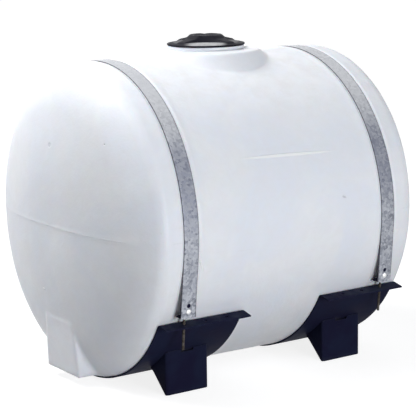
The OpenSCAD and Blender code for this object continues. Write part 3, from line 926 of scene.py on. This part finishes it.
lid_base = neck_top + neck_flange + gasket_t
far = at_every_angle(top_r, edge_r, under)
height = at_every_angle(rim_t + crown_height(top_r, angle), edge_z, under_z)
points = np.stack([neck_x + far * np.cos(angle), far * np.sin(angle), lid_base + height], -1)
hubs = points[:, [0, -1]].mean(0)
row, hub = far.shape[1], far.size
faces = [grid_faces(lid_around, row, wrap_rows=True), fan_faces(0, row, lid_around, hub),
         fan_faces(row - 1, row, lid_around, hub + 1)]
lid = make_object("screw_lid", [(np.concatenate([points.reshape(-1, 3), hubs]), faces)], 1e-7, 50)
dress(lid, "black_lid", "lid_cover", "lid_crown", body="lid")
lid_top = lid_base + rim_t + crown_h
print("lid", len(lid.data.vertices), "points, top at", round(lid_top, 4), "m")

# %% [markdown]
# ## Materials
# Each finish is a Principled BSDF with a small network of its own. The patterns read object coordinates, in
# metres, so a scale of 100 means features of about 10 mm. Effects that several finishes share are node groups:
# they put out only masks, heights and normals.

# %% Nodes in few words
def add(tree, kind, inputs=None, **settings):
    """A new node. A socket given for an input is linked to it, and anything else is the input's plain value."""
    node = tree.nodes.new(kind)
    for key, value in settings.items():
        setattr(node, key, value)
    for key, value in (inputs or {}).items():
        if isinstance(value, bpy.types.NodeSocket):
            tree.links.new(value, node.inputs[key])
        else:
            node.inputs[key].default_value = value
    return node


def maths(tree, operation, *values, clamp=False):
    """The result of a Math node on two or three values or sockets."""
    return add(tree, "ShaderNodeMath", dict(enumerate(values)), operation=operation, use_clamp=clamp).outputs[0]


def times(tree, first, *others):
    """The product of a value and one or more others."""
    for other in others:
        first = maths(tree, "MULTIPLY", first, other)
    return first


def spread(tree, value, low, high, to_low=0.0, to_high=1.0):
    """A value mapped from one range to another, with smooth ends."""
    ranges = {"Value": value, "From Min": low, "From Max": high, "To Min": to_low, "To Max": to_high}
    return add(tree, "ShaderNodeMapRange", ranges, interpolation_type="SMOOTHSTEP").outputs["Result"]


# %% Places and vectors
def place_of(tree):
    """The place on the object, in metres."""
    return tree.nodes.new("ShaderNodeTexCoord").outputs["Object"]


def vectors(tree, operation, *values, result="Vector"):
    """The result of a Vector Math node on one to three vectors or sockets."""
    return add(tree, "ShaderNodeVectorMath", dict(enumerate(values)), operation=operation).outputs[result]


def split(tree, vector):
    """The X, Y and Z of a vector."""
    return add(tree, "ShaderNodeSeparateXYZ", {0: vector}).outputs


def normal_of(tree, kind="Normal"):
    """The surface's own normal."""
    return add(tree, "ShaderNodeNewGeometry").outputs[kind]


# %% Patterns
def noise(tree, vector, scale, detail, roughness=0.55, distortion=0.0):
    """The value of a noise texture with features of about 1/scale metres."""
    inputs = {"Vector": vector, "Scale": scale, "Detail": detail, "Roughness": roughness, "Distortion": distortion}
    return add(tree, "ShaderNodeTexNoise", inputs).outputs["Fac"]


def nick(tree, centre, half_sizes, turn=(0, 0, 0)):
    """1 inside a small ellipsoid and 0 outside it: the length of the place measured in its own half sizes."""
    inputs = {"Vector": place_of(tree), "Location": centre, "Rotation": turn, "Scale": half_sizes}
    own = add(tree, "ShaderNodeMapping", inputs, vector_type="TEXTURE").outputs[0]
    return spread(tree, vectors(tree, "LENGTH", own, result="Value"), 0.55, 1.0, 1.0, 0.0)


# %% Colours and bumps
def blend_colours(tree, mask, first, second):
    """The first colour where the mask is 0, and the second where it is 1."""
    node = add(tree, "ShaderNodeMix", data_type="RGBA")
    for socket, value in ((node.inputs[0], mask), (node.inputs[6], first), (node.inputs[7], second)):
        if isinstance(value, bpy.types.NodeSocket):
            tree.links.new(value, socket)
        else:
            socket.default_value = (*value, 1) if isinstance(value, tuple) else value
    return node.outputs[2]


def coats(tree, colour, *layers):
    """A colour with thinner coats laid over it in order, each given as a mask and a colour."""
    for mask, coat in layers:
        colour = blend_colours(tree, mask, colour, coat)
    return colour


def bump(tree, height, strength, distance, normal=None):
    """The normal that a height in metres times the distance gives the surface."""
    values = {"Height": height, "Strength": strength, "Distance": distance}
    if normal is not None:
        values["Normal"] = normal
    return add(tree, "ShaderNodeBump", values).outputs["Normal"]


# %% Groups and materials
def new_group(name, inputs, outputs):
    """The tree of a new node group, its float inputs, given as names and values, and the place on the object.
    Its outputs are given as names and kinds."""
    tree = bpy.data.node_groups.new(name, "ShaderNodeTree")
    for socket_name, value in inputs.items():
        socket = tree.interface.new_socket(socket_name, in_out="INPUT", socket_type="NodeSocketFloat")
        socket.default_value = value
    for socket_name, kind in outputs.items():
        tree.interface.new_socket(socket_name, in_out="OUTPUT", socket_type="NodeSocket" + kind)
    tree.nodes.new("NodeGroupOutput")
    return tree, tree.nodes.new("NodeGroupInput").outputs, place_of(tree)


def use_group(tree, name, **values):
    """The outputs of a group placed in a tree, with these input values."""
    inputs = {key.replace("_", " "): value for key, value in values.items()}
    return add(tree, "ShaderNodeGroup", inputs, node_tree=bpy.data.node_groups[name]).outputs


finishes = {}


def new_material(name, **values):
    """The tree of a new finish with a Principled BSDF, whose plain values are set on its own sockets."""
    finishes[name] = bpy.data.materials.new(name)
    finishes[name].use_nodes = True
    tree = finishes[name].node_tree
    for key, value in values.items():
        tree.nodes["Principled BSDF"].inputs[key.replace("_", " ")].default_value = value
    return tree


def feed(tree, **sources):
    """Links what was worked out, such as Base_Color=..., to the last node of a group or a material."""
    last = tree.nodes.get("Group Output") or tree.nodes["Principled BSDF"]
    for key, source in sources.items():
        tree.links.new(source, last.inputs[key.replace("_", " ")])


print("node helpers ready")

# %% [markdown]
# ### Shared effects
# A moulded or sprayed skin is never smooth: it has a fine pebbled texture, broad mottling and a few scuffs.
# An edge wears where hands and straps touch it, and dust settles on what faces up. Each of these is a group
# with its own inputs, so that every finish can have it at its own scale.

# %% Pebbled skin
tree, given, place = new_group("pebbled_skin", {"Pebble scale": 120.0, "Mottle scale": 6.0},
                               {"Height": "Float", "Mottle": "Float", "Scuffs": "Float"})
fine = noise(tree, place, given["Pebble scale"], 4, 0.6)
broad = noise(tree, place, maths(tree, "DIVIDE", given["Pebble scale"], 7), 2)
mottle = noise(tree, place, given["Mottle scale"], 5, 0.6, 0.8)
drawn_out = {"Vector": place, "Rotation": (0.5, 0.9, 0.4), "Scale": (1.0, 14.0, 9.0)}
streaks = noise(tree, add(tree, "ShaderNodeMapping", drawn_out).outputs[0], 9.0, 6, 0.7, 0.3)
patches = noise(tree, place, 3.0, 2)
feed(tree, Height=maths(tree, "MULTIPLY_ADD", broad, 0.7, times(tree, fine, 0.45)),
     Mottle=spread(tree, mottle, 0.32, 0.68),
     Scuffs=times(tree, spread(tree, streaks, 0.60, 0.74), spread(tree, patches, 0.45, 0.65)))

# %% Edge wear
tree, given, place = new_group("edge_wear", {"Radius": 0.003, "Grain": 90.0, "Amount": 1.0}, {"Mask": "Float"})
rounded_normal = add(tree, "ShaderNodeBevel", {"Radius": given["Radius"]}, samples=4).outputs["Normal"]
agree = vectors(tree, "DOT_PRODUCT", rounded_normal, normal_of(tree, "True Normal"), result="Value")
sharp = spread(tree, maths(tree, "SUBTRACT", 1.0, agree), 0.01, 0.20)
broken = spread(tree, noise(tree, place, given["Grain"], 4, 0.7), 0.42, 0.62)
feed(tree, Mask=maths(tree, "MULTIPLY", times(tree, sharp, broken), given["Amount"], clamp=True))

# %% Settled dust
tree, given, place = new_group("settled_dust", {"Amount": 1.0, "Splash height": 0.25}, {"Mask": "Float"})
upward = spread(tree, split(tree, normal_of(tree))["Z"], 0.45, 0.98)
splashed = maths(tree, "DIVIDE", split(tree, place)["Z"], given["Splash height"])
low_down = maths(tree, "SUBTRACT", 1.0, splashed, clamp=True)
cover = maths(tree, "ADD", upward, times(tree, low_down, 0.6), clamp=True)
cloudy = spread(tree, noise(tree, place, 14.0, 6, 0.65), 0.35, 0.75)
feed(tree, Mask=maths(tree, "MULTIPLY", times(tree, cover, cloudy), given["Amount"], clamp=True))

# %% Zinc crystals
tree, given, place = new_group("zinc_crystals", {"Crystal scale": 110.0, "Tilt": 0.25},
                               {"Shade": "Float", "Normal": "Vector"})
wobble = add(tree, "ShaderNodeTexNoise", {"Vector": place, "Scale": 260.0, "Detail": 2.0}).outputs["Color"]
shifted = vectors(tree, "MULTIPLY_ADD", wobble, (0.006, 0.006, 0.006), place)
cells = add(tree, "ShaderNodeTexVoronoi", {"Vector": shifted, "Scale": given["Crystal scale"]}).outputs["Color"]
off_centre = {0: vectors(tree, "SUBTRACT", cells, (0.5, 0.5, 0.5)), "Scale": given["Tilt"]}
tilted = add(tree, "ShaderNodeVectorMath", off_centre, operation="SCALE").outputs["Vector"]
crystal_normal = vectors(tree, "NORMALIZE", vectors(tree, "ADD", normal_of(tree), tilted))
feather = noise(tree, place, 420.0, 3, 0.7)
shade = maths(tree, "MULTIPLY_ADD", feather, 0.35, times(tree, split(tree, cells)["X"], 0.65), clamp=True)
feed(tree, Shade=shade, Normal=crystal_normal)
print("node groups", [g.name for g in bpy.data.node_groups])

# %% [markdown]
# ### White polyethylene
# The natural resin is milky: light goes a little way in and comes out again, so it has some subsurface
# scattering. Its colour drifts between a bluish and a warmer white, and its sheen is soft and uneven. Marks
# that are finer than the shell's grid are ellipsoids in space here: a raised weal from the mould on the
# front and a few raised nicks, both painted near white as a painted highlight on them, a few pits, painted
# bluish grey as a painted shade inside them, and the parting line, which shows only in places on the heads.

# %% Marks in the polyethylene
tree = new_material("white_poly", Subsurface_Weight=0.12, Subsurface_Scale=0.012, Specular_IOR_Level=0.30)
where = split(tree, place_of(tree))
from_seam = maths(tree, "ABSOLUTE", maths(tree, "SUBTRACT", where["Z"], axis_z))
on_heads = spread(tree, maths(tree, "ABSOLUTE", where["X"]), 0.46, 0.52)
in_places = spread(tree, noise(tree, place_of(tree), 11.0, 4, 0.7), 0.42, 0.60)
seam = times(tree, spread(tree, from_seam, 0.0010, 0.0040, 1.0, 0.0), on_heads, in_places)
# The weal and the nicks are raised by the bump and also painted near white: a painted highlight on their ridges.
weal_and_highlight = nick(tree, (0.015, -0.51, 0.853), (0.240, 0.08, 0.0070), (0, 0.029, 0))
for centre, half_sizes, turn in (((-0.402, -0.562, 0.503), (0.0040, 0.03, 0.027), -0.42),
                                 ((-0.4106, -0.5625, 0.5227), (0.0060, 0.03, 0.0060), 0.0),
                                 ((0.5055, -0.55, 0.517), (0.0045, 0.03, 0.011), 0.3),
                                 ((-0.675, 0.074, 0.347), (0.03, 0.013, 0.005), 0.0)):
    weal_and_highlight = maths(tree, "MAXIMUM", weal_and_highlight, nick(tree, centre, half_sizes, (0, turn, 0)))
# The pits are sunk by the bump and also painted bluish grey: a painted shade inside them.
pit_and_shade = maths(tree, "MAXIMUM", nick(tree, (-0.66, -0.3144, 0.932), (0.03, 0.0060, 0.0045)),
            nick(tree, (0.2424, -0.562, 0.678), (0.012, 0.03, 0.0045), (0, 0.4, 0)))
pit_and_shade = maths(tree, "MAXIMUM", pit_and_shade, times(tree, nick(tree, (-0.68, 0.0067, 0.897), (0.03, 0.014, 0.011)), 0.6))

# %% White polyethylene
broad_marks = use_group(tree, "pebbled_skin", Pebble_scale=95.0, Mottle_scale=3.2)
small_marks = use_group(tree, "pebbled_skin", Pebble_scale=240.0, Mottle_scale=21.0)
dust = use_group(tree, "settled_dust", Amount=0.25, Splash_height=0.22)["Mask"]
white = blend_colours(tree, broad_marks["Mottle"], (0.795, 0.824, 0.905), (0.850, 0.862, 0.900))
white = coats(tree, white, (times(tree, small_marks["Mottle"], 0.30), (0.790, 0.790, 0.812)),
              (times(tree, broad_marks["Scuffs"], 0.35), (0.70, 0.70, 0.72)), (dust, (0.60, 0.57, 0.53)),
              (times(tree, seam, 0.35), (0.60, 0.62, 0.68)), (times(tree, weal_and_highlight, 0.75), (0.96, 0.96, 0.97)),
              (times(tree, pit_and_shade, 0.5), (0.42, 0.42, 0.48)))
uneven = maths(tree, "MULTIPLY_ADD", small_marks["Mottle"], 0.10, spread(tree, broad_marks["Scuffs"], 0, 1, 0.34, 0.55))
raised = maths(tree, "SUBTRACT", maths(tree, "MULTIPLY_ADD", seam, 0.4, weal_and_highlight), pit_and_shade)
skin_normal = bump(tree, broad_marks["Height"], 0.48, 0.0024, bump(tree, raised, 1.0, 0.0016))
feed(tree, Base_Color=white, Roughness=uneven, Normal=skin_normal)

# %% [markdown]
# ### Galvanised strip, zinc plate and plain steel
# Hot-dip zinc freezes in crystals about a centimetre across, and each one reflects at its own angle. So the
# crystals tilt the normal as well as change the grey. Light and shade are painted on the strip. It is painted
# pale on top as if lit from above, and darker round mid height for the darker surroundings it reflects. Its
# edges, the worn ones too, are painted dark as the shade on their thin sides. Plated nuts and bolts are
# brighter and finer. The threaded rod is plain steel that has dulled and begun to rust.

# %% Galvanised strip
tree = new_material("galvanised_band", Metallic=0.7)
crystals = use_group(tree, "zinc_crystals", Crystal_scale=105.0, Tilt=0.30)
marks = use_group(tree, "pebbled_skin", Pebble_scale=60.0, Mottle_scale=11.0)
# The worn edges are laid on dark here, which adds to the painted shade along the edges.
worn = use_group(tree, "edge_wear", Radius=0.0025, Grain=70.0, Amount=0.8)["Mask"]
where = split(tree, place_of(tree))
# Painted light and shade: paler on top as if lit from above, darker round mid height where the strip reflects darker
# surroundings, and dark along both edges as the shade on their thin sides.
painted_top_light = spread(tree, where["Z"], 0.86, 1.10, 0.0, 0.45)
painted_mid_shade = times(tree, spread(tree, where["Z"], 0.58, 0.76), spread(tree, where["Z"], 0.98, 0.86, 0.0, 0.34))
middle = maths(tree, "MULTIPLY_ADD", where["Z"], -lean_slope, band_x + lean_at_axis + lean_slope * axis_z)
across = maths(tree, "ABSOLUTE", maths(tree, "SUBTRACT", maths(tree, "ABSOLUTE", where["X"]), middle))
painted_edge_shade = spread(tree, across, strip_w / 2 - 0.0035, strip_w / 2 - 0.0010, 0.0, 0.85)
zinc = blend_colours(tree, crystals["Shade"], (0.070, 0.078, 0.105), (0.520, 0.540, 0.590))
zinc = coats(tree, zinc, (times(tree, marks["Mottle"], 0.30), (0.235, 0.250, 0.300)), (painted_top_light, (0.78, 0.79, 0.81)),
             (painted_mid_shade, (0.085, 0.095, 0.150)), (painted_edge_shade, (0.045, 0.045, 0.060)), (worn, (0.13, 0.13, 0.15)))
feed(tree, Base_Color=zinc, Roughness=spread(tree, crystals["Shade"], 0, 1, 0.62, 0.38),
     Normal=bump(tree, marks["Height"], 0.30, 0.0010, crystals["Normal"]))

# %% Zinc plate and plain steel
tree = new_material("zinc_hardware", Metallic=0.9)
marks = use_group(tree, "pebbled_skin", Pebble_scale=420.0, Mottle_scale=90.0)
worn = use_group(tree, "edge_wear", Radius=0.0012, Grain=240.0, Amount=0.7)["Mask"]
plate = blend_colours(tree, marks["Mottle"], (0.62, 0.64, 0.68), (0.80, 0.80, 0.78))
feed(tree, Base_Color=blend_colours(tree, worn, plate, (0.92, 0.92, 0.92)),
     Roughness=spread(tree, marks["Mottle"], 0, 1, 0.24, 0.42), Normal=bump(tree, marks["Height"], 0.25, 0.0003))



def plain_finish(tree, scales, first, second, rough, strength):
    """A finish that is only mottled from one colour to another and pebbled, at these two scales."""
    marks = use_group(tree, "pebbled_skin", Pebble_scale=scales[0], Mottle_scale=scales[1])
    feed(tree, Base_Color=blend_colours(tree, marks["Mottle"], first, second),
         Roughness=spread(tree, marks["Mottle"], 0, 1, *rough), Normal=bump(tree, marks["Height"], strength, 0.0003))


plain_finish(new_material("threaded_steel", Metallic=0.55), (500.0, 60.0), (0.115, 0.105, 0.095),
             (0.052, 0.040, 0.032), (0.48, 0.72), 0.4)

# %% [markdown]
# ### Navy enamel
# The cradles are sprayed with a satin enamel that is almost black. It has an orange-peel texture, it is thin
# at the cut edges, where grey primer shows in places, and it carries a little pale teal dust on its upward
# faces, which is partly painted light on those faces.

# %% Navy enamel
tree = new_material("navy_paint", Specular_IOR_Level=0.01)
marks = use_group(tree, "pebbled_skin", Pebble_scale=210.0, Mottle_scale=9.0)
worn = use_group(tree, "edge_wear", Radius=0.003, Grain=120.0, Amount=0.55)["Mask"]
# Dust on the upward faces, partly real dust and partly painted light: it lightens the flange tops towards teal, as if
# they catch the light from above.
dust = use_group(tree, "settled_dust", Amount=0.16, Splash_height=0.02)["Mask"]
navy = blend_colours(tree, marks["Mottle"], (0.0112, 0.0108, 0.0310), (0.0128, 0.0158, 0.0390))
navy = coats(tree, navy, (times(tree, marks["Scuffs"], 0.5), (0.040, 0.044, 0.062)), (worn, (0.080, 0.085, 0.105)),
             (dust, (0.15, 0.18, 0.20)))
smooth = spread(tree, marks["Mottle"], 0, 1, 0.42, 0.54)
feed(tree, Base_Color=navy, Roughness=maths(tree, "MULTIPLY_ADD", marks["Scuffs"], 0.2, smooth, clamp=True),
     Normal=bump(tree, marks["Height"], 0.30, 0.0008))

# %% [markdown]
# ### Black moulding and rubber
# The lid is polypropylene that hands have dulled along its ridges. A pale painted highlight lies on the flat
# ledges in its hollows, for the sky's reflection there, strongest on the front one. The gasket is soft matt rubber.

# %% Painted highlight on the ledges of the lid's hollows
tree = new_material("black_lid", Specular_IOR_Level=0.10)
marks = use_group(tree, "pebbled_skin", Pebble_scale=330.0, Mottle_scale=26.0)
hollow_floor, front_hollow, ledge_highlight_r = lid_top - crown_h, hollow_turn + math.pi, 0.116
from_neck = vectors(tree, "SUBTRACT", place_of(tree), (neck_x, 0, hollow_floor))
above = split(tree, from_neck)["Z"]
radius = vectors(tree, "LENGTH", vectors(tree, "MULTIPLY", from_neck, (1, 1, 0)), result="Value")
ledge = times(tree, spread(tree, above, -0.0004, 0.0001), spread(tree, above, 0.0062, 0.0074, 1.0, 0.0))
front_ledge_highlight = nick(tree, (neck_x + ledge_highlight_r * math.cos(front_hollow), ledge_highlight_r * math.sin(front_hollow), hollow_floor),
                (0.090, 0.088, 0.05), (0, 0, front_hollow))
other_ledge_highlight = times(tree, spread(tree, radius, 0.122, 0.132, 1.0, 0.0), 0.22)
cloudy = spread(tree, marks["Mottle"], 0, 1, 0.75, 1.0)
# The pale film is a painted highlight: the sky's reflection on the flat ledges, strongest in the front hollow and
# weaker in the other three.
ledge_highlight = times(tree, ledge, maths(tree, "MAXIMUM", front_ledge_highlight, other_ledge_highlight), cloudy)

# %% Black moulding and rubber
worn = use_group(tree, "edge_wear", Radius=0.006, Grain=130.0, Amount=0.3)["Mask"]
black = blend_colours(tree, marks["Mottle"], (0.0040, 0.0040, 0.0075), (0.0080, 0.0080, 0.0135))
black = coats(tree, black, (worn, (0.030, 0.030, 0.040)), (ledge_highlight, (0.46, 0.46, 0.47)))
dulled = spread(tree, marks["Mottle"], 0, 1, 0.50, 0.62)
feed(tree, Base_Color=black, Roughness=maths(tree, "MULTIPLY_ADD", ledge_highlight, 0.2, dulled, clamp=True),
     Normal=bump(tree, marks["Height"], 0.10, 0.0003))

plain_finish(new_material("gasket", Specular_IOR_Level=0.3), (600.0, 50.0), (0.012, 0.012, 0.012),
             (0.024, 0.023, 0.022), (0.7, 0.85), 0.4)

# %% Put the finishes on the pieces
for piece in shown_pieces():
    if "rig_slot" in piece:
        piece.data.materials.clear()
        piece.data.materials.append(finishes[piece["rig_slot"]])
print("finishes", sorted(finishes))

# %% [markdown]
# ## Camera, light and stage
# The camera stands off the tank's front left corner, a little above it, with a long lens so that the heads
# keep their true shape. It is turned slightly off the tank's centre to frame it.

# %% Camera
def camera_axes(yaw, elevation, roll):
    """Unit vectors out of the view, to its right and up, from three angles."""
    back = np.array([math.sin(yaw) * math.cos(elevation), -math.cos(yaw) * math.cos(elevation), math.sin(elevation)])
    level = np.array([math.cos(yaw), math.sin(yaw), 0.0])
    steep = np.cross(back, level)
    return back, math.cos(roll) * level + math.sin(roll) * steep, math.cos(roll) * steep - math.sin(roll) * level


camera_distance, focal_length, image_side = 6.2703, 1600.6, 416
shift_right, shift_down = 2.44, 4.74
centre = np.array([0, 0, axis_z])
back, right, up = camera_axes(*map(math.radians, (-34.663, 10.614, -0.820)))
per_unit = camera_distance / focal_length
stand_point = centre + back * camera_distance
look_at = centre + right * shift_right * per_unit - up * shift_down * per_unit
toward = Vector(stand_point - look_at).normalized()
side_way = Vector(np.cross(up, np.array(toward))).normalized()
camera = add_to_scene("camera", bpy.data.cameras.new("camera"))
camera.data.lens = camera.data.sensor_width * focal_length / image_side
camera.location = stand_point
camera.rotation_mode = "QUATERNION"
camera.rotation_quaternion = Matrix((side_way, toward.cross(side_way), toward)).transposed().to_quaternion()
bpy.context.scene.camera = camera
print("lens", round(camera.data.lens, 2), "mm")

# %% [markdown]
# ### Floor, backdrop and lamps
# The studio is a pale floor under a white backdrop. What the camera and the reflections see of them is nearly
# white, but they light the object only at a plain level. So the light paths are told apart: camera, glossy
# and transmission rays get the backdrop's white, and the other rays get the softer sky.

# %% Floor
def sees_backdrop(tree):
    """1 for camera, glossy and transmission rays, and 0 for the rays that light the object."""
    path = tree.nodes.new("ShaderNodeLightPath").outputs
    seen = maths(tree, "MAXIMUM", path["Is Camera Ray"], path["Is Glossy Ray"])
    return maths(tree, "MAXIMUM", seen, path["Is Transmission Ray"])


floor_half = 40.0
floor_mesh = bpy.data.meshes.new("floor")
floor_corners = [(x * floor_half, y * floor_half, 0) for x, y in ((-1, -1), (1, -1), (1, 1), (-1, 1))]
floor_mesh.from_pydata(floor_corners, [], [(0, 1, 2, 3)])
floor = add_to_scene("floor", floor_mesh)
tree = new_material("pale_floor", Roughness=0.9, Specular_IOR_Level=0.0, Emission_Color=(1, 1, 1, 1))
place = place_of(tree)
away = vectors(tree, "LENGTH", place, result="Value")
feed(tree, Base_Color=blend_colours(tree, noise(tree, place, 2.0, 4), (0.39, 0.39, 0.40), (0.42, 0.42, 0.42)),
     Emission_Strength=times(tree, sees_backdrop(tree), spread(tree, away, 0.9, 4.0, 0.84, 0.98)))
floor_mesh.materials.append(finishes["pale_floor"])
print("floor", 2 * floor_half, "m across")

# %% Sky
world = bpy.data.worlds.new("studio")
world.use_nodes = True
bpy.context.scene.world = world
tree = world.node_tree
lighting = tree.nodes["Background"]
lighting.inputs["Color"].default_value = (0.93, 0.96, 1.0, 1)
lighting.inputs["Strength"].default_value = 0.11
backdrop = add(tree, "ShaderNodeBackground", {"Color": (1, 1, 1, 1), "Strength": 1.0})
chosen = add(tree, "ShaderNodeMixShader", {0: sees_backdrop(tree), 1: lighting.outputs[0], 2: backdrop.outputs[0]})
tree.links.new(chosen.outputs[0], tree.nodes["World Output"].inputs["Surface"])
print("sky strength", round(lighting.inputs["Strength"].default_value, 3))

# %% Lamps
aim = Vector((0, 0, 0.6))


def soft_box(name, position, size, power, colour):
    """A square area lamp at a position, turned towards the tank."""
    lamp = bpy.data.lights.new(name, "AREA")
    lamp.shape, lamp.size, lamp.energy, lamp.color = "SQUARE", size, power, colour
    made = add_to_scene(name, lamp)
    made.location = position
    made.rotation_euler = (aim - Vector(position)).to_track_quat("-Z", "Y").to_euler()


cool_white = (0.97, 0.985, 1.0)
soft_box("key", (-2.0, 1.45, 4.2), 2.2, 222, (0.99, 1.0, 1.0))
soft_box("front", (-0.2, -5.0, 0.9), 1.6, 114, cool_white)
soft_box("front_high", (0.6, -4.0, 4.0), 2.2, 38, cool_white)
soft_box("rear", (2.9, 4.0, 0.7), 1.6, 40, cool_white)
bpy.context.scene.view_settings.view_transform = "Standard"
